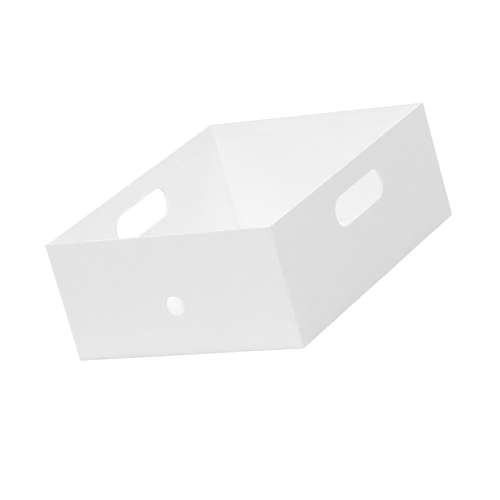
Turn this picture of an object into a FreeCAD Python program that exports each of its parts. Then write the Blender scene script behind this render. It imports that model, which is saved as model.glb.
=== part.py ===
"""Open file storage box: five boards with stayed corners, wrapped outside and lined inside with white paper.

The origin is at the centre of the underside. +X runs to the right along the front, +Y to the back, +Z up.
"""

import FreeCAD, Part
import math
import os
import Sketcher

doc = FreeCAD.newDocument("FileStorageBox")

# Driving sizes, in millimetres

SIZES = {
    # the finished box, over the paper
    "box_width": 252,
    "box_depth": 321,
    "box_height": 120,
    # the materials
    "board_thickness": 2.5,
    "paper_thickness": 0.25,
    "stay_thickness": 0.15,
    # how far the boards' edges are rounded
    "board_corner_radius": 1.1,
    "board_base_radius": 1.0,
    "board_rim_radius": 0.25,
    # the hand slots in the side walls and the finger hole in the front
    "hand_slot_length": 97,
    "hand_slot_height": 30,
    "hand_slot_level": 83.5,
    "finger_hole_diameter": 20,
    "finger_hole_level": 49.5,
    # the wrap: its flaps and the lap where its two ends meet
    "turn_in": 15,
    "turn_under": 15,
    "seam_from_corner": 1,
    "seam_lap": 12,
    "seam_ramp": 1,
    "seam_trim": 3,
    # the corner stays
    "stay_leg": 14,
    "stay_end_gap": 0.5,
    # the linings and the cover under the base
    "lining_drop": 0.75,
    "lining_foot": 10,
    "base_lining_gap": 1,
    "base_cover_inset": 3,
}

sheet = doc.addObject("Spreadsheet::Sheet", "Sizes")
for row, (name, value) in enumerate(SIZES.items(), 1):
    sheet.set(f"A{row}", name)
    sheet.set(f"B{row}", str(value))
    sheet.setAlias(f"B{row}", name)
doc.recompute()

# Shares and limits

RIM_RADIUS_LIMIT = 0.45  # of the board's thickness, so that the rim keeps a flat
BASE_RADIUS_LIMIT = 0.9  # of the corners' radius
LAP_OVERLAP = 1.5  # of the paper's thickness, so that the lap reaches into the sheet under it
HEIGHT_TOLERANCE = 1e-6  # millimetres

# Places worked out from the driving sizes, as expressions

BOARD = "Sizes.board_thickness"
PAPER = "Sizes.paper_thickness"
TOP = "Sizes.box_height"
HALF_WIDTH = "(Sizes.box_width / 2)"
HALF_DEPTH = "(Sizes.box_depth / 2)"

# the boards lie on two sheets of paper: the turned-under wrap and the base cover
UNDERSIDE = f"(2 * {PAPER})"
FLOOR = f"({UNDERSIDE} + {BOARD})"
TURN_IN_END = f"({TOP} - Sizes.turn_in)"
STAYED_CORNER_RADIUS = "(Sizes.board_corner_radius + Sizes.stay_thickness)"


def inset(*layers):
    """Half the width and half the depth of the box, less some layers."""
    thickness = " + ".join(layers) if layers else "0"
    return f"({HALF_WIDTH} - ({thickness}))", f"({HALF_DEPTH} - ({thickness}))"


BOARD_OUTSIDE = inset(PAPER)
BOARD_INSIDE = inset(PAPER, BOARD)
TURN_IN_FACE = inset(PAPER, BOARD, PAPER)


def block(label, low, high):
    """A block between two opposite corners."""
    box = doc.addObject("Part::Box", label)
    for side, axis, start, end in zip(("Length", "Width", "Height"), "xyz", low, high):
        box.setExpression(side, f"{end} - ({start})")
        box.setExpression(f"Placement.Base.{axis}", start)
    return box


def centred_block(label, half, bottom, top):
    """A block centred on the box's upright axis."""
    half_x, half_y = half
    return block(label, (f"-{half_x}", f"-{half_y}", bottom), (half_x, half_y, top))


def common(label, stock, limits):
    """What two solids share."""
    piece = doc.addObject("Part::Common", label)
    piece.Base = stock
    piece.Tool = limits
    piece.Refine = True
    return piece


def cut(label, stock, *tools):
    """A solid with each of the tools cut out of it."""
    for number, tool in enumerate(tools, 1):
        step_label = label if number == len(tools) else f"{label}_cut_{number}"
        piece = doc.addObject("Part::Cut", step_label)
        piece.Base = stock
        piece.Tool = tool
        piece.Refine = True
        stock = piece
    return stock


def fuse(label, *solids):
    """Several solids made one."""
    piece = doc.addObject("Part::MultiFuse", label)
    piece.Shapes = list(solids)
    piece.Refine = True
    return piece


# Sketches

def sketch_on(body, plane, label, lift="0"):
    """An empty sketch on one of the body's own planes, moved along that plane's normal."""
    sketch = body.newObject("Sketcher::SketchObject", label)
    support = [item for item in body.Origin.OriginFeatures if item.Role == plane]
    sketch.AttachmentSupport = [(support[0], "")]
    sketch.MapMode = "FlatFace"
    sketch.setExpression("AttachmentOffset.Base.z", lift)
    return sketch


def set_size(sketch, constraint, expression):
    """Add a size to a sketch and bind it."""
    number = sketch.addConstraint(constraint)
    sketch.setExpression(f"Constraints[{number}]", expression)


def polygon(sketch, corners):
    """Straight lines through corners, closed."""
    ends = corners[1:] + corners[:1]
    lines = [Part.LineSegment(FreeCAD.Vector(*a), FreeCAD.Vector(*b)) for a, b in zip(corners, ends)]
    sketch.addGeometry(lines, False)
    for line in range(len(lines)):
        after = (line + 1) % len(lines)
        sketch.addConstraint(Sketcher.Constraint("Coincident", line, 2, after, 1))


def draw_rectangle(sketch, half):
    """A rectangle centred on the sketch's origin."""
    polygon(sketch, [(-1, -1), (1, -1), (1, 1), (-1, 1)])
    for line, direction in enumerate(("Horizontal", "Vertical") * 2):
        sketch.addConstraint(Sketcher.Constraint(direction, line))
    sketch.addConstraint(Sketcher.Constraint("Symmetric", 0, 1, 2, 1, -1, 1))
    half_x, half_y = half
    set_size(sketch, Sketcher.Constraint("DistanceX", 0, 1, 0, 2, 2), f"2 * {half_x}")
    set_size(sketch, Sketcher.Constraint("DistanceY", 1, 1, 1, 2, 2), f"2 * {half_y}")


def draw_slot(sketch, length, height, level):
    """An oblong with round ends, centred across the sketch at a height."""
    right_end = Part.Circle(FreeCAD.Vector(2, 5), FreeCAD.Vector(0, 0, 1), 1)
    left_end = Part.Circle(FreeCAD.Vector(-2, 5), FreeCAD.Vector(0, 0, 1), 1)
    quarter = math.pi / 2
    sketch.addGeometry([
        Part.LineSegment(FreeCAD.Vector(-2, 4), FreeCAD.Vector(2, 4)),
        Part.ArcOfCircle(right_end, -quarter, quarter),
        Part.LineSegment(FreeCAD.Vector(2, 6), FreeCAD.Vector(-2, 6)),
        Part.ArcOfCircle(left_end, quarter, 3 * quarter),
    ], False)
    for piece in range(4):
        sketch.addConstraint(Sketcher.Constraint("Tangent", piece, 2, (piece + 1) % 4, 1))
    sketch.addConstraint(Sketcher.Constraint("Horizontal", 0))
    sketch.addConstraint(Sketcher.Constraint("Symmetric", 1, 3, 3, 3, -2))
    set_size(sketch, Sketcher.Constraint("Radius", 1, 1), f"{height} / 2")
    set_size(sketch, Sketcher.Constraint("DistanceX", 3, 3, 1, 3, 4), f"{length} - {height}")
    set_size(sketch, Sketcher.Constraint("DistanceY", -1, 1, 1, 3, 5), level)


def draw_circle(sketch, diameter, level):
    """A circle above the sketch's origin."""
    sketch.addGeometry(Part.Circle(FreeCAD.Vector(0, 5), FreeCAD.Vector(0, 0, 1), 1), False)
    sketch.addConstraint(Sketcher.Constraint("PointOnObject", 0, 3, -2))
    set_size(sketch, Sketcher.Constraint("Diameter", 0, 2), diameter)
    set_size(sketch, Sketcher.Constraint("DistanceY", -1, 1, 0, 3, 5), level)


# Features

def pad(body, sketch, label, length, both_ways=False):
    feature = body.newObject("PartDesign::Pad", label)
    feature.Profile = sketch
    feature.SideType = "Symmetric" if both_ways else "One side"
    feature.setExpression("Length", length)
    doc.recompute()
    return feature


def pocket(body, sketch, label, depth):
    """A pocket that runs down from its sketch."""
    before = body.Shape.Volume
    feature = body.newObject("PartDesign::Pocket", label)
    feature.Profile = sketch
    feature.setExpression("Length", depth)
    doc.recompute()
    if body.Shape.Volume >= before:
        raise RuntimeError(f"{label} cuts nothing")
    return feature


def fillet(body, base, label, radius, belongs):
    """Round the edges of a feature for which belongs(edge) is true."""
    edges = enumerate(base.Shape.Edges, 1)
    feature = body.newObject("PartDesign::Fillet", label)
    feature.Base = (base, [f"Edge{number}" for number, edge in edges if belongs(edge)])
    feature.setExpression("Radius", radius)
    doc.recompute()
    return feature


def is_upright(edge):
    bounds = edge.BoundBox
    return bounds.ZLength > max(bounds.XLength, bounds.YLength)


def at_height(height):
    """A test for the edges that lie level at a height."""
    def lies_there(edge):
        bounds = edge.BoundBox
        return max(abs(bounds.ZMin - height), abs(bounds.ZMax - height)) < HEIGHT_TOLERANCE
    return lies_there


# Forms that several pieces share

def tray(label, skin):
    """The five boards as one tray with rounded edges, each face of it pushed out by a skin of paper."""
    body = doc.addObject("PartDesign::Body", label)
    outside = [f"({half} + {skin})" for half in BOARD_OUTSIDE]
    outline = sketch_on(body, "XY_Plane", f"{label}_outline", f"{UNDERSIDE} - {skin}")
    draw_rectangle(outline, outside)
    solid = pad(body, outline, f"{label}_solid", f"{TOP} - {PAPER} - {UNDERSIDE} + 2 * {skin}")
    corner_radius = f"({STAYED_CORNER_RADIUS} + {skin})"
    rounded = fillet(body, solid, f"{label}_corners", corner_radius, is_upright)

    inside = [f"({half} - {skin})" for half in BOARD_INSIDE]
    opening = sketch_on(body, "XY_Plane", f"{label}_opening", f"{TOP} - {PAPER} + {skin}")
    draw_rectangle(opening, inside)
    hollow = pocket(body, opening, f"{label}_hollow", f"{TOP} - {PAPER} - {FLOOR}")

    bounds = rounded.Shape.BoundBox
    rim_radius = f"min(Sizes.board_rim_radius + {skin}; {RIM_RADIUS_LIMIT} * {BOARD} + {skin})"
    rim = fillet(body, hollow, f"{label}_rim", rim_radius, at_height(bounds.ZMax))
    base_radius = f"min(Sizes.board_base_radius + {skin}; {BASE_RADIUS_LIMIT} * {corner_radius})"
    fillet(body, rim, f"{label}_base", base_radius, at_height(bounds.ZMin))
    return body


def stay_core():
    """The boards' outline under the corner stays, which are let in flush."""
    body = doc.addObject("PartDesign::Body", "StayCore")
    outline = sketch_on(body, "XY_Plane", "StayCoreOutline")
    draw_rectangle(outline, inset(PAPER, "Sizes.stay_thickness"))
    solid = pad(body, outline, "StayCoreSolid", TOP)
    fillet(body, solid, "StayCoreCorners", "Sizes.board_corner_radius", is_upright)
    return body


def hand_slot_punch():
    """The punch that opens both hand slots, right across the box."""
    body = doc.addObject("PartDesign::Body", "HandSlotPunch")
    slot = sketch_on(body, "YZ_Plane", "HandSlotOutline")
    draw_slot(slot, "Sizes.hand_slot_length", "Sizes.hand_slot_height", "Sizes.hand_slot_level")
    pad(body, slot, "HandSlotRun", "2 * Sizes.box_width", both_ways=True)
    return body


def finger_hole_punch():
    """The punch that opens the finger hole, from the middle of the box out through the front."""
    body = doc.addObject("PartDesign::Body", "FingerHolePunch")
    hole = sketch_on(body, "XZ_Plane", "FingerHoleOutline")
    draw_circle(hole, "Sizes.finger_hole_diameter", "Sizes.finger_hole_level")
    pad(body, hole, "FingerHoleRun", "Sizes.box_depth")
    return body


def lap(label, corner_x, face_y, bottom, top):
    """The second layer where a band of paper overlaps its own end, with a ramp down to the single layer."""
    body = doc.addObject("PartDesign::Body", label)
    section = sketch_on(body, "XY_Plane", f"{label}_section", bottom)
    polygon(section, [(0, 0), (4, 0), (3, 1), (0, 1)])
    for line, direction in ((0, "Horizontal"), (2, "Horizontal"), (3, "Vertical")):
        section.addConstraint(Sketcher.Constraint(direction, line))
    set_size(section, Sketcher.Constraint("DistanceX", -1, 1, 0, 1, 0.1), corner_x)
    inner_face = f"{face_y} - {LAP_OVERLAP - 1} * {PAPER}"
    set_size(section, Sketcher.Constraint("DistanceY", -1, 1, 0, 1, 0.1), inner_face)
    set_size(section, Sketcher.Constraint("DistanceY", 3, 2, 3, 1, 1), f"{LAP_OVERLAP} * {PAPER}")
    set_size(section, Sketcher.Constraint("DistanceX", 2, 2, 2, 1, 3), "Sizes.seam_lap")
    set_size(section, Sketcher.Constraint("DistanceX", 1, 2, 1, 1, 1), f"{LAP_OVERLAP} * Sizes.seam_ramp")
    pad(body, section, f"{label}_strip", f"{top} - ({bottom})")
    return body


def stepped_sheet(label, edge, step, edge_bottom, middle_bottom):
    """A sheet whose border lies one thickness higher or lower than its middle."""
    low = f"min({edge_bottom}; {middle_bottom})"
    border = centred_block(f"{label}_border", edge, edge_bottom, f"({edge_bottom} + {PAPER})")
    step_wall = centred_block(f"{label}_step", step, low, f"({low} + 2 * {PAPER})")
    within = [f"({half} - {PAPER})" for half in step]
    hollow = centred_block(f"{label}_hollow", within, edge_bottom, f"({edge_bottom} + {PAPER})")
    return cut(label, fuse(f"{label}_raised", border, step_wall), hollow)


# The boards

board_tray = tray("BoardTray", "0")
core = stay_core()
slots = hand_slot_punch()
hole = finger_hole_punch()


def corner_stay(label, side_x, side_y):
    """Gummed tape folded round one upright corner of the boards, from the rim down past the base joint."""
    reach = [f"({half} - Sizes.stay_leg)" for half in BOARD_OUTSIDE]
    low, high = [], []
    for side, start, end in zip((side_x, side_y), reach, BOARD_OUTSIDE):
        low.append(start if side > 0 else f"-{end}")
        high.append(end if side > 0 else f"-{start}")
    low.append(f"({UNDERSIDE} + Sizes.board_base_radius + Sizes.stay_end_gap)")
    high.append(f"({TOP} - {PAPER} - Sizes.board_rim_radius - Sizes.stay_end_gap)")
    zone = block(f"{label}_zone", low, high)
    return cut(label, common(f"{label}_blank", board_tray, zone), core)


stays = [
    corner_stay("front_left_corner_stay", -1, -1),
    corner_stay("front_right_corner_stay", 1, -1),
    corner_stay("back_left_corner_stay", -1, 1),
    corner_stay("back_right_corner_stay", 1, 1),
]
front_left_stay, front_right_stay, back_left_stay, back_right_stay = stays


def board(label, low, high, *tools):
    """One board of the tray, between two corners, with its cut-outs."""
    zone = block(f"{label}_zone", low, high)
    return cut(label, common(f"{label}_blank", board_tray, zone), *tools)


inside_x, inside_y = BOARD_INSIDE
outside_x, outside_y = BOARD_OUTSIDE

boards = [
    board("base_board", (f"-{outside_x}", f"-{outside_y}", UNDERSIDE), (outside_x, outside_y, FLOOR), *stays),
    board("front_board", (f"-{inside_x}", f"-{outside_y}", FLOOR), (inside_x, f"-{inside_y}", TOP),
          hole, front_left_stay, front_right_stay),
    board("back_board", (f"-{inside_x}", inside_y, FLOOR), (inside_x, outside_y, TOP),
          back_left_stay, back_right_stay),
    board("left_board", (f"-{outside_x}", f"-{outside_y}", FLOOR), (f"-{inside_x}", outside_y, TOP),
          slots, front_left_stay, back_left_stay),
    board("right_board", (inside_x, f"-{outside_y}", FLOOR), (outside_x, outside_y, TOP),
          slots, front_right_stay, back_right_stay),
]


# The paper

def outer_wrap():
    """A band of paper round the walls, turned in over the rim and under the base, lapped behind."""
    wrapped_tray = tray("WrappedTray", PAPER)
    below_turn_in = centred_block("BelowTurnIn", BOARD_INSIDE, FLOOR, TURN_IN_END)
    within_turn_under = centred_block("WithinTurnUnder", inset("Sizes.turn_under"), "0", UNDERSIDE)
    band = cut("WrapBand", wrapped_tray, board_tray, below_turn_in, within_turn_under)
    corner_x = f"-{HALF_WIDTH} + {STAYED_CORNER_RADIUS} + {PAPER} + Sizes.seam_from_corner"
    seam_bottom = f"{UNDERSIDE} + Sizes.seam_trim"
    seam = lap("WrapLap", corner_x, HALF_DEPTH, seam_bottom, f"({TOP} - Sizes.seam_trim)")
    return cut("outer_wrap", fuse("LappedBand", band, seam), slots, hole)


def wall_lining():
    """A band of paper inside the walls. It covers the turned-in wrap, steps back to the boards below it
    and ends in a foot on the floor."""
    upper_face = inset(PAPER, BOARD, PAPER, PAPER)
    step_bottom = f"({TURN_IN_END} - {PAPER})"
    foot_top = f"({FLOOR} + {PAPER})"
    upper = centred_block("LiningUpper", TURN_IN_FACE, step_bottom, f"({TOP} - Sizes.lining_drop)")
    lower = centred_block("LiningLower", BOARD_INSIDE, FLOOR, TURN_IN_END)
    upper_space = centred_block("LiningUpperSpace", upper_face, step_bottom, TOP)
    lower_space = centred_block("LiningLowerSpace", TURN_IN_FACE, foot_top, step_bottom)
    foot_opening = centred_block("LiningFootOpening", inset(PAPER, BOARD, "Sizes.lining_foot"), FLOOR, foot_top)
    band = cut("LiningBand", fuse("LiningBlank", upper, lower), upper_space, lower_space, foot_opening)
    face_x, face_y = TURN_IN_FACE
    corner_x = f"-{face_x} + Sizes.seam_from_corner"
    seam_bottom = f"{foot_top} + Sizes.seam_trim"
    seam = lap("LiningLap", corner_x, f"-{face_y}", seam_bottom, f"({step_bottom} - Sizes.seam_trim)")
    return cut("wall_lining", fuse("LappedLining", band, seam), slots, hole)


def base_lining():
    """The sheet on the floor, over the foot of the wall lining."""
    edge = inset(PAPER, BOARD, PAPER, "Sizes.base_lining_gap")
    foot_edge = inset(PAPER, BOARD, "Sizes.lining_foot")
    return stepped_sheet("base_lining", edge, foot_edge, f"({FLOOR} + {PAPER})", FLOOR)


def base_cover():
    """The sheet under the base, over the turned-under wrap. Its border is what the box stands on."""
    return stepped_sheet("base_cover", inset("Sizes.base_cover_inset"), inset("Sizes.turn_under"), "0", PAPER)


sub_parts = boards + stays + [outer_wrap(), wall_lining(), base_lining(), base_cover()]
doc.recompute()

# Tests before anything is written

failed = [item.Label for item in doc.Objects if {"Invalid", "Error"} & set(item.State)]
if failed:
    raise RuntimeError(f"these objects failed: {failed}")
for piece in sub_parts:
    shape = piece.Shape
    if shape.isNull() or not shape.isValid() or len(shape.Solids) != 1:
        raise RuntimeError(f"{piece.Label} isn't one valid solid")

os.makedirs("parts", exist_ok=True)
for piece in sub_parts:
    piece.Shape.exportStep(f"parts/{piece.Label}.step")
    bounds = piece.Shape.optimalBoundingBox(False)
    extents = f"{bounds.XLength:.2f} x {bounds.YLength:.2f} x {bounds.ZLength:.2f} mm"
    print(f"{piece.Label}: {extents}, {piece.Shape.Volume / 1000:.2f} cm3")
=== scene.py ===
"""Looks of an open file storage box: five boards, wrapped and lined with matt white paper."""

import math

import bmesh
import bpy
from mathutils import Matrix, Vector


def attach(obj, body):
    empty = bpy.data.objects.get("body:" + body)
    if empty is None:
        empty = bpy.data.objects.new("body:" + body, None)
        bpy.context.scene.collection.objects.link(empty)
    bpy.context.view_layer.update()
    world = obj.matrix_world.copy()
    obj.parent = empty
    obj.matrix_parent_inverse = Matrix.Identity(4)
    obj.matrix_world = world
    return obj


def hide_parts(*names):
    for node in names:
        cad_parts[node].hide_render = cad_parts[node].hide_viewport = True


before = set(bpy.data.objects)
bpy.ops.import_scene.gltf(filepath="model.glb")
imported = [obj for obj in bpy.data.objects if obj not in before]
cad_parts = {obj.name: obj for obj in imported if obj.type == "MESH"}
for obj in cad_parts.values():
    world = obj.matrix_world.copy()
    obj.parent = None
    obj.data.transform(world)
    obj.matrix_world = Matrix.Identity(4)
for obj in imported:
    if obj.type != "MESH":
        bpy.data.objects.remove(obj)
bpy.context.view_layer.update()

# The box's sizes, in metres. Its front faces -Y, up is +Z, and it stands on Z = 0.

HALF_WIDTH = 0.126
HALF_DEPTH = 0.1605
HEIGHT = 0.120
PAPER = 0.00025
BOARD = 0.0025
PLY = BOARD / 5

RIM_WIDTH = 0.003
TURN_IN = 0.015
TURN_UNDER = 0.015
CORNER_ROUND = 0.0007
BASE_ROUND = 0.0007
RIM_ROUND = 0.0005
CORNER_ROUND_STEPS = 6
BASE_ROUND_STEPS = 5
RIM_ROUND_STEPS = 4

HAND_SLOT_LENGTH = 0.097
HAND_SLOT_HEIGHT = 0.030
HAND_SLOT_LEVEL = 0.0835
FINGER_HOLE_DIAMETER = 0.020
FINGER_HOLE_LEVEL = 0.0495
PUNCH_SIDES = 64
PUNCH_REACH = 0.04
PUNCH_ROLL = 0.00012
PUNCH_ROLL_STEPS = 2

INNER_HALF_WIDTH = HALF_WIDTH - RIM_WIDTH
INNER_HALF_DEPTH = HALF_DEPTH - RIM_WIDTH
FLOOR_TOP = 0.003
LINING_DROP = 0.00075
LINING_FOOT = 0.00975
LINING_FOLD = 0.0004
LINING_FOLD_STEPS = 3

WRAP_LAP = (-0.1235, -0.1115)
WRAP_LAP_LOW = 0.0035
LINING_LAP = (-0.1220, -0.1100)
LINING_LAP_LOW = 0.00625
LINING_LAP_HIGH = 0.10175
LAP_TRIM = 0.003
LAP_RAMP = 0.001

BASE_LINING_INSET = 0.001
BASE_LINING_HALF_SIZES = (
    INNER_HALF_WIDTH - BASE_LINING_INSET, INNER_HALF_DEPTH - BASE_LINING_INSET)
BASE_COVER_INSET = 0.003
BASE_COVER_HALF_SIZES = (HALF_WIDTH - BASE_COVER_INSET, HALF_DEPTH - BASE_COVER_INSET)

MITRE_GAP = 0.00018
MITRE_START = 0.0005
MITRE_SPARE = 0.001
DIAGONAL = math.cos(math.radians(45))

# Tests of places and directions.

NEAR = 0.00002
NEARLY_SQUARE = 0.9
NEARLY_STRAIGHT = 0.99999
CUT_THRESHOLD = 0.000001
SMOOTH_ANGLE = 35

# Tones: the darkest and lightest of each paper, the board and the tape.

# The wrap is one paper in two tones: its outer walls are painted shade, darker than its turned-in
# part, whose lighter tone is painted light.
WRAP_OUTSIDE_PAINTED_SHADE = (0.736, 0.753)
WRAP_TURNED_IN_PAINTED_LIGHT = (0.82, 0.84)
# The lining's tone is partly a brighter paper and partly painted light for the inside of the box.
LINING_PAINTED_LIGHT = (0.934, 0.946)
COVER = (0.865, 0.88)
BOARD_PULP = ((0.875, 0.872, 0.862, 1), (0.895, 0.892, 0.883, 1))
TAPE = ((0.80, 0.75, 0.66, 1), (0.86, 0.82, 0.745, 1))

# How far from the box's outer walls the wrap's painted shade ends, and its lighter turned-in tone,
# painted light, begins.

WRAP_PAINTED_SHADE_CHANGE = (0.0002, 0.001)

# Marks on the papers: their tone, how much of it shows, and how much they smooth the paper.

WRAP_RUB = (0.696, 0.5, 0.12)
LINING_PASTE = (0.86, 0.5, 0.15)
COVER_PASTE = (0.81, 0.5, 0.0)
COVER_SCUFF = (0.66, 0.35, 0.2)

# The lines that the board's plies draw: their tone, and how much of it shows.

PLY_LINE = (0.76, 0.755, 0.738, 1)
PLY_LINE_SHARE = 0.65

# Where nearly all values of a noise lie, and where the tape's ripples are high enough for gum.

NOISE_BULK = (0.3, 0.7)
TAPE_GUM_SPOTS = (0.45, 0.8)

# How rough each surface is, from where it is lowest to where it stands highest.

WRAP_MATT = (0.86, 0.94)
LINING_MATT = (0.88, 0.95)
COVER_MATT = (0.86, 0.94)
BOARD_MATT = (0.9, 0.98)
TAPE_MATT = (0.86, 0.58)

# How deep each surface is: the ripples left by pasting, the paper's tooth, and the board's plies.

WRAP_RIPPLE, WRAP_TOOTH = 0.00015, 0.00005
LINING_RIPPLE, LINING_TOOTH = 0.00012, 0.00004
COVER_TOOTH = 0.00006
BOARD_PLIES = 0.00006
TAPE_RIPPLE, TAPE_TOOTH = 0.00006, 0.00004

# The studio.

CAMERA_AZIMUTH = 34.315
CAMERA_ELEVATION = 17.265
CAMERA_ROLL = -15.841
CAMERA_DISTANCE = 2.8755
CAMERA_AIM = Vector((-0.0045, -0.0096, 0.0428))
CAMERA_LENS = 213.44
CAMERA_SENSOR = 36.0

TABLE_SIZE = 30.0
TABLE_TONE = 0.9
TABLE_ROUGHNESS = 0.9
TABLE_NEAR_GLOW = 0.18
TABLE_GLOW = 0.13
TABLE_FAR_GLOW = 0.6
TABLE_NEAR_REACH = (0.18, 0.45)
TABLE_FAR_REACH = (0.8, 3.0)
CARD_GLOW = 0.42
CARD_START = (0.0, 0.006)
CARD_END = (0.006, 0.16)
CARD_HALF_WIDTH = (0.13, 0.25)
SKY_STRENGTH = 0.47

SOFT_BOX_SIZE = 1.2
SOFT_BOX_DISTANCE = 2.2
SOFT_BOXES = {
    # name: azimuth, elevation, power
    "back_soft_box": (180, 25, 16.2),
    "left_soft_box": (-90, 25, 14.2),
    "front_soft_box": (17, 50, 16),
    "right_soft_box": (90, 50, 7.9),
}


# Shaping by hand.

def select_only(*pieces):
    """Select these objects and make the first one active."""
    bpy.ops.object.select_all(action="DESELECT")
    for piece in pieces:
        piece.select_set(True)
    bpy.context.view_layer.objects.active = pieces[0]


def start_box(name, low, high):
    """A plain box between two corners, left in edit mode to be shaped into a sheet."""
    size = [top - bottom for bottom, top in zip(low, high)]
    middle = [(top + bottom) / 2 for bottom, top in zip(low, high)]
    bpy.ops.object.select_all(action="DESELECT")
    bpy.ops.mesh.primitive_cube_add(size=1, location=middle, scale=size)
    piece = bpy.context.object
    piece.name = name
    piece.data.name = name
    bpy.ops.object.transform_apply(location=True, rotation=True, scale=True)
    bpy.ops.object.mode_set(mode="EDIT")
    return piece


def pick(piece, kind, test):
    """In edit mode, select the verts, edges or faces that pass a test, and nothing else."""
    bpy.ops.mesh.select_mode(type={"verts": "VERT", "edges": "EDGE", "faces": "FACE"}[kind])
    bpy.ops.mesh.select_all(action="DESELECT")
    mesh = bmesh.from_edit_mesh(piece.data)
    for element in getattr(mesh, kind):
        if test(element):
            element.select_set(True)
    mesh.select_flush_mode()
    bmesh.update_edit_mesh(piece.data)


def lies_at(vertex, x=None, y=None, z=None):
    """Whether a vertex has this height, and these distances from the upright middle planes."""
    pairs = ((abs(vertex.co.x), x), (abs(vertex.co.y), y), (vertex.co.z, z))
    return all(wanted is None or abs(value - wanted) < NEAR for value, wanted in pairs)


def all_at(element, **place):
    """Whether all of an edge or a face lies at a place."""
    return all(lies_at(vertex, **place) for vertex in element.verts)


def faces_up(face):
    return face.normal.z > NEARLY_SQUARE


def faces_down(face):
    return face.normal.z < -NEARLY_SQUARE


def is_fold(edge, height):
    """Whether a level face turns into an upright one at this edge."""
    if not all_at(edge, z=height) or len(edge.link_faces) != 2:
        return False
    first, second = (faces_up(face) or faces_down(face) for face in edge.link_faces)
    return first != second


def round_picked(radius, segments):
    """Round off the picked edges."""
    bpy.ops.mesh.bevel(
        offset=radius, segments=segments, profile=0.5, affect="EDGES", clamp_overlap=False)


def pull_out(distance):
    """Extrude the picked faces along a vector."""
    bpy.ops.mesh.extrude_region_move(TRANSFORM_OT_translate={"value": distance})


def slice_faces(piece, test, point, normal):
    """Cut the faces that pass a test along a plane."""
    pick(piece, "faces", test)
    bpy.ops.mesh.bisect(plane_co=point, plane_no=normal, threshold=CUT_THRESHOLD)


def use_modifier(piece, kind, **settings):
    """Put a modifier on a piece and apply it."""
    select_only(piece)
    modifier = piece.modifiers.new(kind.lower(), kind)
    for name, value in settings.items():
        setattr(modifier, name, value)
    bpy.ops.object.modifier_apply(modifier=modifier.name)


def make_paper(piece):
    """Leave edit mode, and turn the surface into a sheet of paper that lies behind it."""
    bpy.ops.object.mode_set(mode="OBJECT")
    use_modifier(piece, "SOLIDIFY", thickness=PAPER, offset=-1, use_even_offset=True)


def cut_with(piece, cutters):
    """Take the cutters out of a sheet, and throw them away."""
    select_only(*cutters)
    if len(cutters) > 1:
        bpy.ops.object.join()
    cutter = bpy.context.object
    use_modifier(piece, "BOOLEAN", operation="DIFFERENCE", object=cutter, solver="EXACT")
    bpy.data.objects.remove(cutter)


def hand_slot_punch():
    """A long bar with round edges, right through both side walls."""
    bpy.ops.object.select_all(action="DESELECT")
    bpy.ops.mesh.primitive_cylinder_add(
        vertices=PUNCH_SIDES,
        radius=HAND_SLOT_HEIGHT / 2 / math.cos(math.pi / PUNCH_SIDES),
        depth=3 * HALF_WIDTH,
        location=(0, 0, HAND_SLOT_LEVEL),
        rotation=(0, math.pi / 2, 0),
    )
    punch = bpy.context.object
    bpy.ops.object.transform_apply(location=True, rotation=True, scale=True)
    bpy.ops.object.mode_set(mode="EDIT")
    bpy.ops.mesh.select_all(action="SELECT")
    half_step = math.pi / PUNCH_SIDES
    middle = (0, 0, HAND_SLOT_LEVEL)
    bpy.ops.transform.rotate(value=half_step, orient_axis="X", center_override=middle)
    reach = (HAND_SLOT_LENGTH - HAND_SLOT_HEIGHT) / 2
    for end in (-1, 1):
        pick(punch, "verts", lambda vertex: vertex.co.y * end > 0)
        bpy.ops.transform.translate(value=(0, end * reach, 0))
    bpy.ops.object.mode_set(mode="OBJECT")
    return punch


def finger_hole_punch():
    """A short round bar through the front wall."""
    bpy.ops.object.select_all(action="DESELECT")
    bpy.ops.mesh.primitive_cylinder_add(
        vertices=PUNCH_SIDES,
        radius=FINGER_HOLE_DIAMETER / 2,
        depth=PUNCH_REACH,
        location=(0, -HALF_DEPTH, FINGER_HOLE_LEVEL),
        rotation=(math.pi / 2, 0, 0),
    )
    return bpy.context.object


def mitre_blades(corner, length, low, high):
    """Four thin upright blades on the diagonals, outwards from the corners of a rectangle."""
    blades = []
    reach = length / 2 * DIAGONAL
    out_x, out_y = corner[0] + reach, corner[1] + reach
    for side in (-1, 1):
        for end in (-1, 1):
            bpy.ops.object.select_all(action="DESELECT")
            bpy.ops.mesh.primitive_cube_add(
                size=1,
                location=(side * out_x, end * out_y, (low + high) / 2),
                rotation=(0, 0, math.radians(45 * side * end)),
                scale=(length, MITRE_GAP, high - low),
            )
            blades.append(bpy.context.object)
    return blades


def raise_lap(piece, wall_y, span, low, high):
    """Lift the strip's free end off a wall that faces the back, and let it run down as a ramp."""
    def on_wall(face):
        flat_on_it = all(abs(vertex.co.y - wall_y) < NEAR for vertex in face.verts)
        return face.normal.y > NEARLY_SQUARE and flat_on_it

    def in_lap(face):
        middle = face.calc_center_bounds()
        return on_wall(face) and span[0] < middle.x < span[1] and low < middle.z < high

    def at_ramp_foot(vertex):
        within = low - NEAR < vertex.co.z < high + NEAR
        return within and abs(vertex.co.y - wall_y) < NEAR and abs(vertex.co.x - span[1]) < NEAR

    for x in span:
        slice_faces(piece, on_wall, (x, 0, 0), (1, 0, 0))
    for z in (low, high):
        slice_faces(piece, on_wall, (0, 0, z), (0, 0, 1))
    pick(piece, "faces", in_lap)
    pull_out((0, PAPER, 0))
    pick(piece, "verts", at_ramp_foot)
    bpy.ops.transform.translate(value=(LAP_RAMP, 0, 0))


def roll_punched_edges(piece, on_outline):
    """Round over the paper where the punch has pressed it in."""
    pick(piece, "edges", on_outline)
    round_picked(PUNCH_ROLL, PUNCH_ROLL_STEPS)


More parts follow.
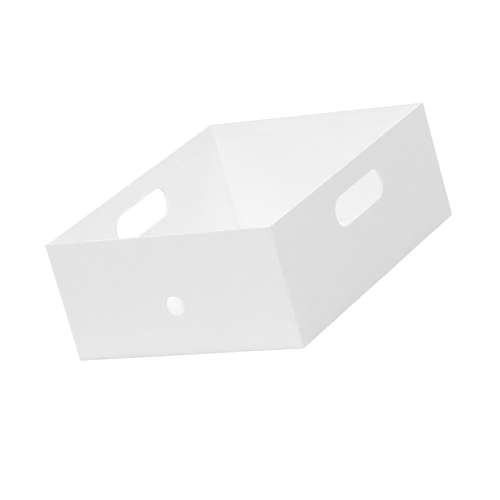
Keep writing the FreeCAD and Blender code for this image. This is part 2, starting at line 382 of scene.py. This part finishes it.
def shade_folds(piece):
    """Smooth shading over the rounded folds, and crisp outlines for the flat faces."""
    def is_flat(face):
        return max(abs(value) for value in face.normal) > NEARLY_STRAIGHT

    def outlines_flat(edge):
        faces = edge.link_faces
        if len(faces) != 2 or faces[0].normal.dot(faces[1].normal) >= NEARLY_STRAIGHT:
            return False
        return any(map(is_flat, faces))

    select_only(piece)
    bpy.ops.object.shade_smooth_by_angle(angle=math.radians(SMOOTH_ANGLE))
    bpy.ops.object.mode_set(mode="EDIT")
    pick(piece, "edges", outlines_flat)
    bpy.ops.mesh.mark_sharp()
    bpy.ops.object.mode_set(mode="OBJECT")


# The four papers that show.

def around_slot(vertex):
    """Whether a vertex is on the outline of a hand slot."""
    half_straight = (HAND_SLOT_LENGTH - HAND_SLOT_HEIGHT) / 2
    across = max(abs(vertex.co.y) - half_straight, 0)
    distance = math.hypot(across, vertex.co.z - HAND_SLOT_LEVEL)
    return abs(distance - HAND_SLOT_HEIGHT / 2) < NEAR


def around_finger_hole(vertex):
    """Whether a vertex is on the outline of the finger hole."""
    distance = math.hypot(vertex.co.x, vertex.co.z - FINGER_HOLE_LEVEL)
    return vertex.co.y < 0 and abs(distance - FINGER_HOLE_DIAMETER / 2) < NEAR


def outlines_slot(edge):
    return all_at(edge, x=HALF_WIDTH) and all(map(around_slot, edge.verts))


def outlines_finger_hole(edge):
    return all_at(edge, y=HALF_DEPTH) and all(map(around_finger_hole, edge.verts))


def wrap_paper_sheet():
    """The strip round the walls, turned in over the rim and under the base, lapped at the back."""
    low = (-HALF_WIDTH, -HALF_DEPTH, PAPER)
    wrap = start_box("wrapped_strip", low, (HALF_WIDTH, HALF_DEPTH, HEIGHT))
    pick(wrap, "faces", faces_up)
    bpy.ops.mesh.inset(thickness=RIM_WIDTH)
    pull_out((0, 0, -TURN_IN))
    bpy.ops.mesh.delete(type="FACE")
    pick(wrap, "faces", faces_down)
    bpy.ops.mesh.inset(thickness=TURN_UNDER)
    bpy.ops.mesh.delete(type="FACE")

    pick(wrap, "edges", lambda edge: all_at(edge, x=HALF_WIDTH, y=HALF_DEPTH))
    round_picked(CORNER_ROUND, CORNER_ROUND_STEPS)
    pick(wrap, "edges", lambda edge: is_fold(edge, HEIGHT))
    round_picked(RIM_ROUND, RIM_ROUND_STEPS)
    pick(wrap, "edges", lambda edge: is_fold(edge, PAPER))
    round_picked(BASE_ROUND, BASE_ROUND_STEPS)
    make_paper(wrap)

    rim_corner = (INNER_HALF_WIDTH - MITRE_START, INNER_HALF_DEPTH - MITRE_START)
    rim_mitre = RIM_WIDTH / DIAGONAL - CORNER_ROUND
    rim_blades = mitre_blades(
        rim_corner, rim_mitre, HEIGHT - TURN_IN - MITRE_SPARE, HEIGHT + MITRE_SPARE)
    from_outside = TURN_UNDER + MITRE_SPARE
    base_corner = (HALF_WIDTH - from_outside, HALF_DEPTH - from_outside)
    base_mitre = (TURN_UNDER - BASE_ROUND) / DIAGONAL
    base_blades = mitre_blades(base_corner, base_mitre, -MITRE_SPARE, MITRE_SPARE)
    cut_with(wrap, [hand_slot_punch(), finger_hole_punch()] + rim_blades + base_blades)

    bpy.ops.object.mode_set(mode="EDIT")
    roll_punched_edges(wrap, outlines_slot)
    roll_punched_edges(wrap, outlines_finger_hole)
    raise_lap(wrap, HALF_DEPTH, WRAP_LAP, WRAP_LAP_LOW, HEIGHT - LAP_TRIM)
    bpy.ops.object.mode_set(mode="OBJECT")
    shade_folds(wrap)
    return wrap


def wall_lining_sheet():
    """The strip inside the walls, with a foot turned in on the floor, lapped at the front."""
    low = (-INNER_HALF_WIDTH, -INNER_HALF_DEPTH, FLOOR_TOP + PAPER)
    high = (INNER_HALF_WIDTH, INNER_HALF_DEPTH, HEIGHT - LINING_DROP)
    lining = start_box("wall_lining_strip", low, high)
    pick(lining, "faces", faces_up)
    bpy.ops.mesh.delete(type="ONLY_FACE")
    pick(lining, "faces", faces_down)
    bpy.ops.mesh.inset(thickness=LINING_FOOT)
    bpy.ops.mesh.delete(type="FACE")

    turn_in_end = HEIGHT - TURN_IN

    def is_upright(face):
        return not faces_up(face) and not faces_down(face)

    def covers_turn_in(vertex, axis, wall):
        return vertex.co.z > turn_in_end - PAPER / 2 and abs(vertex.co[axis] - wall) < NEAR

    for level in (turn_in_end - PAPER, turn_in_end):
        slice_faces(lining, is_upright, (0, 0, level), (0, 0, 1))
    for axis, half_size in enumerate((INNER_HALF_WIDTH, INNER_HALF_DEPTH)):
        for side in (-1, 1):
            inwards = [0, 0, 0]
            inwards[axis] = -side * PAPER
            pick(lining, "verts", lambda vertex: covers_turn_in(vertex, axis, side * half_size))
            bpy.ops.transform.translate(value=inwards)

    pick(lining, "edges", lambda edge: is_fold(edge, FLOOR_TOP + PAPER))
    round_picked(LINING_FOLD, LINING_FOLD_STEPS)
    bpy.ops.mesh.select_all(action="SELECT")
    bpy.ops.mesh.flip_normals()
    make_paper(lining)

    from_wall = LINING_FOOT + MITRE_SPARE
    foot_corner = (INNER_HALF_WIDTH - from_wall, INNER_HALF_DEPTH - from_wall)
    foot_mitre = LINING_FOOT / DIAGONAL
    foot_blades = mitre_blades(
        foot_corner, foot_mitre, FLOOR_TOP - MITRE_SPARE, FLOOR_TOP + MITRE_SPARE)
    cut_with(lining, [hand_slot_punch(), finger_hole_punch()] + foot_blades)

    bpy.ops.object.mode_set(mode="EDIT")
    raise_lap(lining, -INNER_HALF_DEPTH, LINING_LAP, LINING_LAP_LOW, LINING_LAP_HIGH)
    bpy.ops.object.mode_set(mode="OBJECT")
    shade_folds(lining)
    return lining


def flat_sheet(name, half_sizes, face_z, facing, ring):
    """A sheet whose ring is pasted over a paper's edge, and whose middle lies on the board."""
    half_width, half_depth = half_sizes
    behind = face_z - facing * PAPER
    low = (-half_width, -half_depth, min(face_z, behind))
    high = (half_width, half_depth, max(face_z, behind))
    sheet = start_box(name, low, high)
    pick(sheet, "faces", lambda face: face.normal.z * facing < NEARLY_SQUARE)
    bpy.ops.mesh.delete(type="FACE")
    pick(sheet, "faces", lambda face: True)
    bpy.ops.mesh.inset(thickness=ring)
    bpy.ops.mesh.inset(thickness=PAPER)
    bpy.ops.transform.translate(value=(0, 0, -facing * PAPER))
    make_paper(sheet)
    shade_folds(sheet)
    return sheet


def base_lining_sheet():
    """The sheet on the floor, over the foot of the wall lining."""
    face_z = FLOOR_TOP + 2 * PAPER
    ring = LINING_FOOT - BASE_LINING_INSET
    return flat_sheet("base_lining_sheet", BASE_LINING_HALF_SIZES, face_z, facing=1, ring=ring)


def base_cover_sheet():
    """The sheet under the base, over the turned-under wrap."""
    ring = TURN_UNDER - BASE_COVER_INSET
    return flat_sheet("base_cover_sheet", BASE_COVER_HALF_SIZES, face_z=0, facing=-1, ring=ring)


# Finishes. A group gives masks and heights, and a material makes paper or board of them.

def add(tree, kind, sockets=None, **settings):
    """A node with its settings, and its sockets set to a value or joined to a node's output."""
    made = tree.nodes.new(kind)
    for name, value in settings.items():
        setattr(made, name, value)
    for name, value in (sockets or {}).items():
        if isinstance(value, bpy.types.NodeSocket):
            tree.links.new(value, made.inputs[name])
        else:
            made.inputs[name].default_value = value
    return made


def reckon(tree, operation, *values):
    """The result of a sum."""
    made = add(tree, "ShaderNodeMath", dict(enumerate(values)), operation=operation)
    return made.outputs[0]


def spread(tree, value, start, end, low=0.0, high=1.0, smooth=False):
    """A value taken from one range to another, and kept within it."""
    kind = "SMOOTHSTEP" if smooth else "LINEAR"
    sockets = {"Value": value, "From Min": start, "From Max": end, "To Min": low, "To Max": high}
    return add(tree, "ShaderNodeMapRange", sockets, interpolation_type=kind).outputs[0]


def split(tree, place):
    """The three coordinates of a place."""
    return add(tree, "ShaderNodeSeparateXYZ", {0: place}).outputs


def inside(tree, coordinate, half_size):
    """How far a coordinate is inside the nearer of two ends that lie evenly round zero."""
    return reckon(tree, "SUBTRACT", half_size, reckon(tree, "ABSOLUTE", coordinate))


def squeezed(tree, place, *factors):
    """A place that makes a pattern smaller along each axis by these factors."""
    made = add(tree, "ShaderNodeVectorMath", {0: place, 1: factors}, operation="MULTIPLY")
    return made.outputs[0]


def noise(tree, place, size, detail=2.0, roughness=0.5, distortion=0.0):
    """Soft noise with grains of a given size, in metres."""
    sockets = {
        "Vector": place, "Scale": reckon(tree, "DIVIDE", 1.0, size),
        "Detail": detail, "Roughness": roughness, "Distortion": distortion,
    }
    return add(tree, "ShaderNodeTexNoise", sockets).outputs[0]


def tint(tree, amount, first, second):
    """A colour that runs from the first to the second as the amount goes from 0 to 1."""
    made = add(tree, "ShaderNodeMix", {0: amount, 6: first, 7: second}, data_type="RGBA")
    return made.outputs[2]


def grey(value):
    return (value, value, value, 1)


def tones(tree, clouds, darkest, lightest):
    """A grey that varies with the paper's clouds."""
    return tint(tree, clouds, grey(darkest), grey(lightest))


def start_group(name, measures, results):
    """A shader node group that takes a place and these measures, and gives these results."""
    group = bpy.data.node_groups.new(name, "ShaderNodeTree")
    group.interface.new_socket("Place", in_out="INPUT", socket_type="NodeSocketVector")
    for label in measures:
        group.interface.new_socket(label, in_out="INPUT", socket_type="NodeSocketFloat")
    for label in results:
        group.interface.new_socket(label, in_out="OUTPUT", socket_type="NodeSocketFloat")
    return group, group.nodes.new("NodeGroupInput").outputs


def end_group(group, results):
    """Join what the group gives to its outputs."""
    add(group, "NodeGroupOutput", results)
    return group


def paper_tooth_group():
    """The felted fibres of uncoated paper, and the clouds seen where they lie denser."""
    pit_to_fibre, pit_share = 3.2, 0.45
    group, given = start_group("box_paper_tooth", ["Fibre", "Cloud"], ["Height", "Clouds"])
    felt = noise(group, given["Place"], given["Fibre"], detail=4.0, roughness=0.62, distortion=0.6)
    pit_size = reckon(group, "MULTIPLY", given["Fibre"], pit_to_fibre)
    pits = noise(group, given["Place"], pit_size)
    felt_height = reckon(group, "MULTIPLY", felt, 1 - pit_share)
    height = reckon(group, "MULTIPLY_ADD", pits, pit_share, felt_height)
    clouds = noise(group, given["Place"], given["Cloud"], detail=3.0, roughness=0.6)
    return end_group(group, {"Height": height, "Clouds": spread(group, clouds, *NOISE_BULK)})


def paste_ripple_group():
    """The shallow unevenness of paper that was pasted wet on board and pressed by hand."""
    lowness, narrow_to_broad, narrow_share = 1.7, 0.3, 0.22
    group, given = start_group("box_paste_ripple", ["Ripple"], ["Height"])
    lower = squeezed(group, given["Place"], 1.0, 1.0, lowness)
    broad = noise(group, lower, given["Ripple"], detail=1.0, roughness=0.4)
    narrow_size = reckon(group, "MULTIPLY", given["Ripple"], narrow_to_broad)
    narrow = noise(group, lower, narrow_size, detail=1.0)
    return end_group(group, {"Height": reckon(group, "MULTIPLY_ADD", narrow, narrow_share, broad)})


def rubbed_edge_group():
    """Where hands and shelves rub: the box's outer edges and corners, in broken patches."""
    reach, patch_size = 0.0012, 0.009
    patch_strength, patch_threshold = 1.6, 1.1
    fully_rubbed = 0.9
    group, given = start_group("box_rubbed_edges", [], ["Rub"])
    x, y, z = split(group, given["Place"])
    side = inside(group, x, HALF_WIDTH)
    end = inside(group, y, HALF_DEPTH)
    level = inside(group, reckon(group, "SUBTRACT", z, HEIGHT / 2), HEIGHT / 2)
    nearer = reckon(group, "MINIMUM", side, end)
    farther = reckon(group, "MAXIMUM", side, end)
    to_edge = reckon(group, "MAXIMUM", nearer, reckon(group, "MINIMUM", farther, level))
    closeness = reckon(group, "SUBTRACT", 1.0, reckon(group, "DIVIDE", to_edge, reach))
    patches = noise(group, given["Place"], patch_size, detail=4.0, roughness=0.65)
    patchy = reckon(group, "MULTIPLY_ADD", patches, patch_strength, -patch_threshold)
    rub = reckon(group, "ADD", closeness, patchy)
    return end_group(group, {"Rub": spread(group, rub, 0.0, fully_rubbed, smooth=True)})


def paste_line_group():
    """The thin uneven line of dried paste along a sheet's cut edge."""
    reach, break_size = 0.0009, 0.004
    narrowest, widest = 0.3, 1.2
    fully_pasted = 0.3
    group, given = start_group("box_paste_line", ["Distance"], ["Paste"])
    breaks = noise(group, given["Place"], break_size, detail=3.0)
    width = reckon(group, "MULTIPLY", reach, spread(group, breaks, 0.35, 0.7, narrowest, widest))
    share = reckon(group, "DIVIDE", given["Distance"], width)
    return end_group(group, {"Paste": spread(group, share, 1.0, fully_pasted, smooth=True)})


def board_ply_group():
    """The pressed plies of board on its cut edges, with their torn fibres."""
    sway_size, sway_depth, tear_size = 0.006, 0.00022, 0.0003
    line_sharpness, line_depth, torn_line = 6.0, 0.35, 0.4
    group, given = start_group("box_board_plies", ["Depth"], ["Lines", "Height"])
    sway = noise(group, given["Place"], sway_size)
    depth = reckon(group, "MULTIPLY_ADD", sway, sway_depth, given["Depth"])
    turn = reckon(group, "MULTIPLY", reckon(group, "DIVIDE", depth, PLY), 2 * math.pi)
    wave = reckon(group, "MULTIPLY_ADD", reckon(group, "COSINE", turn), 0.5, 0.5)
    lines = reckon(group, "POWER", wave, line_sharpness)
    torn = noise(group, given["Place"], tear_size, detail=4.0, roughness=0.7)
    height = reckon(group, "SUBTRACT", torn, reckon(group, "MULTIPLY", lines, line_depth))
    faded = reckon(group, "MULTIPLY", lines, spread(group, torn, 0.3, 0.65, 1.0, torn_line))
    return end_group(group, {"Lines": faded, "Height": height})


def shelf_scuff_group():
    """Faint scratches and grime from sliding in and out along a shelf."""
    length, thinness, patch_size = 0.03, 14.0, 0.05
    group, given = start_group("box_shelf_scuffs", [], ["Scuffs"])
    drawn_out = squeezed(group, given["Place"], thinness, 1.0, thinness)
    streaks = noise(group, drawn_out, length, detail=5.0, roughness=0.7, distortion=0.3)
    patches = noise(group, given["Place"], patch_size)
    scratches = spread(group, streaks, 0.52, 0.72)
    scuffs = reckon(group, "MULTIPLY", scratches, spread(group, patches, 0.4, 0.62))
    return end_group(group, {"Scuffs": scuffs})


def start_material(name):
    """A material with its own shader, and the place on the box to draw its pattern from."""
    material = bpy.data.materials.new(name)
    material.use_nodes = True
    tree = material.node_tree
    place = add(tree, "ShaderNodeTexCoord").outputs["Object"]
    return material, tree, tree.nodes["Principled BSDF"], place


def use_group(tree, group, **sockets):
    """The group's outputs, with its inputs set by name."""
    return add(tree, "ShaderNodeGroup", sockets, node_tree=group).outputs


def mattness(tree, tooth, smoothest, roughest):
    """A roughness that varies with the paper's tooth."""
    return spread(tree, tooth["Height"], *NOISE_BULK, smoothest, roughest)


def mark(tree, colour, roughness, marks, tone, share, smoothing):
    """The colour and the roughness with marks of a grey tone, which are also smoother."""
    marked = tint(tree, reckon(tree, "MULTIPLY", marks, share), colour, grey(tone))
    return marked, reckon(tree, "MULTIPLY_ADD", marks, -smoothing, roughness)


def finish(tree, shader, colour, roughness, *layers):
    """Join a colour, a roughness, and heights that are each given with their depth in metres."""
    tree.links.new(colour, shader.inputs["Base Color"])
    tree.links.new(roughness, shader.inputs["Roughness"])
    normal = None
    for height, depth in layers:
        sockets = {"Height": height, "Distance": depth, "Strength": 1.0}
        if normal is not None:
            sockets["Normal"] = normal
        normal = add(tree, "ShaderNodeBump", sockets).outputs[0]
    tree.links.new(normal, shader.inputs["Normal"])


def from_edge(tree, place, half_sizes=None, top=None):
    """How far a point is below a top edge, or inside the sides of a rectangle round the middle."""
    if top is not None:
        return reckon(tree, "SUBTRACT", top, split(tree, place)[2])
    gaps = [inside(tree, *pair) for pair in zip(split(tree, place), half_sizes)]
    return reckon(tree, "MINIMUM", *gaps)


def wrap_paper(groups):
    """Matt white uncoated paper, with painted shade on its outer walls, which are greyer than its
    turned-in part, and rubbed at the box's edges.
    """
    material, tree, shader, place = start_material("white_wrap_paper")
    tooth = use_group(tree, groups["tooth"], Place=place, Fibre=0.0005, Cloud=0.008)
    ripple = use_group(tree, groups["ripple"], Place=place, Ripple=0.04)
    rub = use_group(tree, groups["rub"], Place=place)["Rub"]
    # Painted shade: the outer walls take a darker grey than the turned-in part of the same paper.
    shaded_outside = tones(tree, tooth["Clouds"], *WRAP_OUTSIDE_PAINTED_SHADE)
    lit_turned_in = tones(tree, tooth["Clouds"], *WRAP_TURNED_IN_PAINTED_LIGHT)
    from_outside = from_edge(tree, place, half_sizes=(HALF_WIDTH, HALF_DEPTH))
    clean = tint(tree, spread(tree, from_outside, *WRAP_PAINTED_SHADE_CHANGE), shaded_outside, lit_turned_in)
    matt = mattness(tree, tooth, *WRAP_MATT)
    worn, smoothed = mark(tree, clean, matt, rub, *WRAP_RUB)
    layers = (ripple["Height"], WRAP_RIPPLE), (tooth["Height"], WRAP_TOOTH)
    finish(tree, shader, worn, smoothed, *layers)
    return material


def lining_paper(groups, name, **edge):
    """Matt white lining paper, brighter than the wrap, partly as a brighter paper and partly as
    painted light inside the box, with a line of dried paste inside its cut edge.
    """
    material, tree, shader, place = start_material(name)
    tooth = use_group(tree, groups["tooth"], Place=place, Fibre=0.00042, Cloud=0.006)
    ripple = use_group(tree, groups["ripple"], Place=place, Ripple=0.03)
    distance = from_edge(tree, place, **edge)
    paste = use_group(tree, groups["paste"], Place=place, Distance=distance)["Paste"]
    # Painted light: the lining's bright tone stands partly for the light inside the box.
    clean = tones(tree, tooth["Clouds"], *LINING_PAINTED_LIGHT)
    matt = mattness(tree, tooth, *LINING_MATT)
    pasted, smoothed = mark(tree, clean, matt, paste, *LINING_PASTE)
    layers = (ripple["Height"], LINING_RIPPLE), (tooth["Height"], LINING_TOOTH)
    finish(tree, shader, pasted, smoothed, *layers)
    return material


def cover_paper(groups):
    """The plain paper under the base, scuffed where it slides on a shelf."""
    material, tree, shader, place = start_material("white_base_cover_paper")
    tooth = use_group(tree, groups["tooth"], Place=place, Fibre=0.0006, Cloud=0.01)
    scuffs = use_group(tree, groups["scuffs"], Place=place)["Scuffs"]
    distance = from_edge(tree, place, half_sizes=BASE_COVER_HALF_SIZES)
    paste = use_group(tree, groups["paste"], Place=place, Distance=distance)["Paste"]
    clean = tones(tree, tooth["Clouds"], *COVER)
    matt = mattness(tree, tooth, *COVER_MATT)
    pasted, matt = mark(tree, clean, matt, paste, *COVER_PASTE)
    scuffed, smoothed = mark(tree, pasted, matt, scuffs, *COVER_SCUFF)
    finish(tree, shader, scuffed, smoothed, (tooth["Height"], COVER_TOOTH))
    return material


def board(groups, name, axis, start):
    """White board, whose plies show on its cut edges. The axis runs through its thickness."""
    material, tree, shader, place = start_material(name)
    through = reckon(tree, "ABSOLUTE", split(tree, place)[axis])
    depth = reckon(tree, "SUBTRACT", through, start)
    plies = use_group(tree, groups["plies"], Place=place, Depth=depth)
    tooth = use_group(tree, groups["tooth"], Place=place, Fibre=0.0007, Cloud=0.005)
    pulp = tint(tree, tooth["Clouds"], *BOARD_PULP)
    lines = reckon(tree, "MULTIPLY", plies["Lines"], PLY_LINE_SHARE)
    lined = tint(tree, lines, pulp, PLY_LINE)
    matt = mattness(tree, tooth, *BOARD_MATT)
    finish(tree, shader, lined, matt, (plies["Height"], BOARD_PLIES))
    return material


def stay_tape(groups):
    """Pale brown gummed tape, shiny in spots where the gum has come through."""
    material, tree, shader, place = start_material("gummed_stay_tape")
    tooth = use_group(tree, groups["tooth"], Place=place, Fibre=0.0008, Cloud=0.004)
    ripple = use_group(tree, groups["ripple"], Place=place, Ripple=0.012)
    paper = tint(tree, tooth["Clouds"], *TAPE)
    shine = spread(tree, ripple["Height"], *TAPE_GUM_SPOTS, *TAPE_MATT)
    layers = (ripple["Height"], TAPE_RIPPLE), (tooth["Height"], TAPE_TOOTH)
    finish(tree, shader, paper, shine, *layers)
    return material


# Dressing the box.

def wear(piece, material):
    """Give a piece one material all over."""
    piece.data.materials.clear()
    piece.data.materials.append(material)


def stand_for(piece, node, material):
    """A modelled sheet takes the place of its CAD node."""
    wear(piece, material)
    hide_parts(node)
    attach(piece, "root")


def dress_box():
    """Put the modelled papers in their nodes' places, and finish the boards and the stays."""
    groups = {
        "tooth": paper_tooth_group(),
        "ripple": paste_ripple_group(),
        "rub": rubbed_edge_group(),
        "paste": paste_line_group(),
        "plies": board_ply_group(),
        "scuffs": shelf_scuff_group(),
    }
    stand_for(wrap_paper_sheet(), "outer_wrap", wrap_paper(groups))
    wall_paper = lining_paper(groups, "white_wall_lining_paper", top=HEIGHT - LINING_DROP)
    stand_for(wall_lining_sheet(), "wall_lining", wall_paper)
    floor_paper = lining_paper(
        groups, "white_base_lining_paper", half_sizes=BASE_LINING_HALF_SIZES)
    stand_for(base_lining_sheet(), "base_lining", floor_paper)
    stand_for(base_cover_sheet(), "base_cover", cover_paper(groups))

    side_board = board(groups, "white_board_of_the_sides", 0, HALF_WIDTH - PAPER - BOARD)
    end_board = board(groups, "white_board_of_the_ends", 1, HALF_DEPTH - PAPER - BOARD)
    base_board = board(groups, "white_board_of_the_base", 2, FLOOR_TOP - BOARD)
    tape = stay_tape(groups)
    finishes = {
        "left_board": side_board, "right_board": side_board,
        "front_board": end_board, "back_board": end_board, "base_board": base_board,
        "front_left_corner_stay": tape, "front_right_corner_stay": tape,
        "back_left_corner_stay": tape, "back_right_corner_stay": tape,
    }
    for name, finish in finishes.items():
        wear(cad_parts[name], finish)


# The studio: a white table, an even white surrounding and four soft boxes.

def away(azimuth, elevation):
    """The direction out from the box, in degrees: 0 is to its front and 90 to its right."""
    turn, rise = math.radians(azimuth), math.radians(elevation)
    reach = math.cos(rise)
    return Vector((math.sin(turn) * reach, -math.cos(turn) * reach, math.sin(rise)))


def add_camera():
    """The camera of the photo: to the front right, a little above, and rolled."""
    data = bpy.data.cameras.new("photo_camera")
    data.lens = CAMERA_LENS
    data.sensor_width = CAMERA_SENSOR
    camera = bpy.data.objects.new("photo_camera", data)
    bpy.context.scene.collection.objects.link(camera)
    outwards = away(CAMERA_AZIMUTH, CAMERA_ELEVATION)
    level = outwards.to_track_quat("Z", "Y").to_matrix()
    tilted = level @ Matrix.Rotation(math.radians(CAMERA_ROLL), 3, "Z")
    position = Matrix.Translation(CAMERA_AIM + CAMERA_DISTANCE * outwards)
    camera.matrix_world = position @ tilted.to_4x4()
    bpy.context.scene.camera = camera


def add_soft_box(name, azimuth, elevation, power):
    """A round soft light that faces the box."""
    data = bpy.data.lights.new(name, "AREA")
    data.shape = "DISK"
    data.size = SOFT_BOX_SIZE
    data.energy = power
    light = bpy.data.objects.new(name, data)
    bpy.context.scene.collection.objects.link(light)
    outwards = away(azimuth, elevation)
    facing = outwards.to_track_quat("Z", "Y").to_matrix().to_4x4()
    light.matrix_world = Matrix.Translation(SOFT_BOX_DISTANCE * outwards) @ facing


def table_finish():
    """White that glows more far off, and just in front of the box, as if a card lay there."""
    material, tree, shader, place = start_material("studio_table")
    shader.inputs["Base Color"].default_value = grey(TABLE_TONE)
    shader.inputs["Roughness"].default_value = TABLE_ROUGHNESS
    shader.inputs["Emission Strength"].default_value = 1
    length = add(tree, "ShaderNodeVectorMath", {0: place}, operation="LENGTH")
    distance = length.outputs["Value"]
    leaving = spread(tree, distance, *TABLE_NEAR_REACH)
    glow = tint(tree, leaving, grey(TABLE_NEAR_GLOW), grey(TABLE_GLOW))
    far_off = spread(tree, distance, *TABLE_FAR_REACH)
    glow = tint(tree, far_off, glow, grey(TABLE_FAR_GLOW))

    x, y = split(tree, place)[:2]
    ahead = reckon(tree, "SUBTRACT", -HALF_DEPTH, y)
    before_box = spread(tree, ahead, *CARD_START)
    near_box = spread(tree, ahead, *CARD_END, 1.0, 0.0)
    along = spread(tree, reckon(tree, "ABSOLUTE", x), *CARD_HALF_WIDTH, 1.0, 0.0)
    card = reckon(tree, "MULTIPLY", reckon(tree, "MULTIPLY", before_box, near_box), along)
    glow = tint(tree, card, glow, grey(CARD_GLOW))
    tree.links.new(glow, shader.inputs["Emission Color"])
    return material


def white_surrounding():
    """An even light from all round, which the camera sees as plain white."""
    world = bpy.data.worlds.new("studio")
    world.use_nodes = True
    sky = world.node_tree
    background = sky.nodes["Background"]
    background.inputs["Color"].default_value = grey(1)
    seen = add(sky, "ShaderNodeLightPath").outputs["Is Camera Ray"]
    sky.links.new(spread(sky, seen, 0, 1, SKY_STRENGTH, 1.0), background.inputs["Strength"])
    return world


def set_studio():
    """Set up the table, the surrounding and the lights."""
    bpy.ops.object.select_all(action="DESELECT")
    bpy.ops.mesh.primitive_plane_add(size=TABLE_SIZE)
    table = bpy.context.object
    table.name = "studio_table"
    table.data.materials.append(table_finish())

    scene = bpy.context.scene
    scene.world = white_surrounding()
    for name, (azimuth, elevation, power) in SOFT_BOXES.items():
        add_soft_box(name, azimuth, elevation, power)
    scene.view_settings.view_transform = "Standard"


add_camera()
set_studio()
dress_box()
